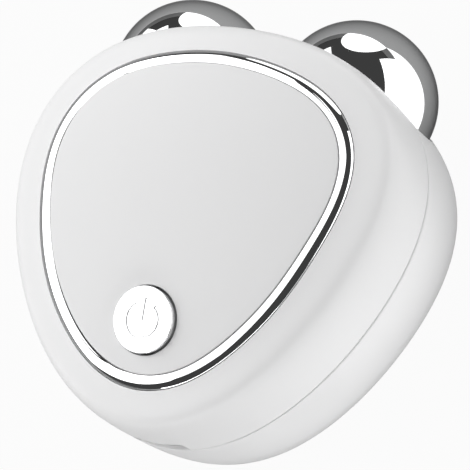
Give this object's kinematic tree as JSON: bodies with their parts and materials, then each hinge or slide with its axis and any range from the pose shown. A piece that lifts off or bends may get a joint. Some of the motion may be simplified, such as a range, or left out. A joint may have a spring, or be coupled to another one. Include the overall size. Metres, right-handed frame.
{
  "type": "facial toning device",
  "caption": "Palm-sized facial toning device: soft three-cornered white body with a domed panel in a chrome ring, a press button, and free-rolling chrome balls.",
  "frame": {"origin": "middle of the flat rest face on the device's back", "axes": "+Z out of the rest face towards the domed front, +Y towards the balls, +X to the right seen from the front with the balls up"},
  "size_m": [0.0574, 0.0626, 0.0327],
  "materials": {
    "shell_white": "satin moulded ABS",
    "panel_grey": "fine matte",
    "bright_chrome": "polished chrome plate",
    "steel": "turned steel",
    "bronze": "sintered bronze",
    "brass_plate": "stamped brass",
    "rubber_black": "matte",
    "nylon_natural": "natural nylon",
    "board_green": "solder mask",
    "part_black": "moulded epoxy",
    "tinned_metal": "tinned",
    "ceramic_tan": "fired ceramic",
    "battery_foil": "pouch foil",
    "foam_tape": "foam",
    "connector_cream": "moulded nylon",
    "lead_red": "PVC",
    "lead_white": "PVC"
  },
  "bodies": {
    "body": {"front_shell": "shell_white", "rear_shell": "shell_white", "trim_ring": "bright_chrome", "front_panel": "panel_grey", "switch_body": "part_black", "circuit_board": "board_green", "controller_chip": "part_black", "boost_inductor": "part_black", "smoothing_capacitor": "tinned_metal", "chip_capacitors": "ceramic_tan", "usb_shell": "tinned_metal", "usb_tongue": "part_black", "battery": "battery_foil", "battery_tape": "foam_tape", "battery_socket": "connector_cream", "battery_plug": "connector_cream", "battery_leads": "lead_red", "electrode_leads": "lead_white", "left_axle": "steel", "right_axle": "steel", "left_axle_clip": "steel", "right_axle_clip": "steel", "left_axle_seal": "rubber_black", "right_axle_seal": "rubber_black", "left_axle_nut": "brass_plate", "right_axle_nut": "brass_plate", "left_solder_tag": "brass_plate", "right_solder_tag": "brass_plate", "shell_screws": "steel"},
    "button": {"button_cap": "bright_chrome"},
    "switch_plunger_body": {"switch_plunger": "part_black"},
    "left_ball_body": {"left_ball": "bright_chrome", "left_ball_hub": "nylon_natural", "left_ball_bushes": "bronze"},
    "right_ball_body": {"right_ball": "bright_chrome", "right_ball_hub": "nylon_natural", "right_ball_bushes": "bronze"}
  },
  "joints": [
    {"name": "button_press", "type": "slide", "parent": "body", "child": "button", "axis": [0, 0.205, -0.9788], "range_m": [0, 0.00035], "stiffness_N_per_m": 600, "springref_m": -0.0008},
    {"name": "switch_press", "type": "slide", "parent": "body", "child": "switch_plunger_body", "axis": [0, 0, -1], "range_m": [0, 0.000344]},
    {"name": "left_ball_roll", "type": "hinge", "parent": "body", "child": "left_ball_body", "pos_m": [-0.01288, 0.02143, 0.0147], "axis": [-0.515, 0.8572, 0], "continuous": true},
    {"name": "right_ball_roll", "type": "hinge", "parent": "body", "child": "right_ball_body", "pos_m": [0.01288, 0.02143, 0.0147], "axis": [0.515, 0.8572, 0], "continuous": true}
  ],
  "couplings": [
    {"joint": "switch_press", "follows": "button_press", "ratio": 0.97876}
  ]
}
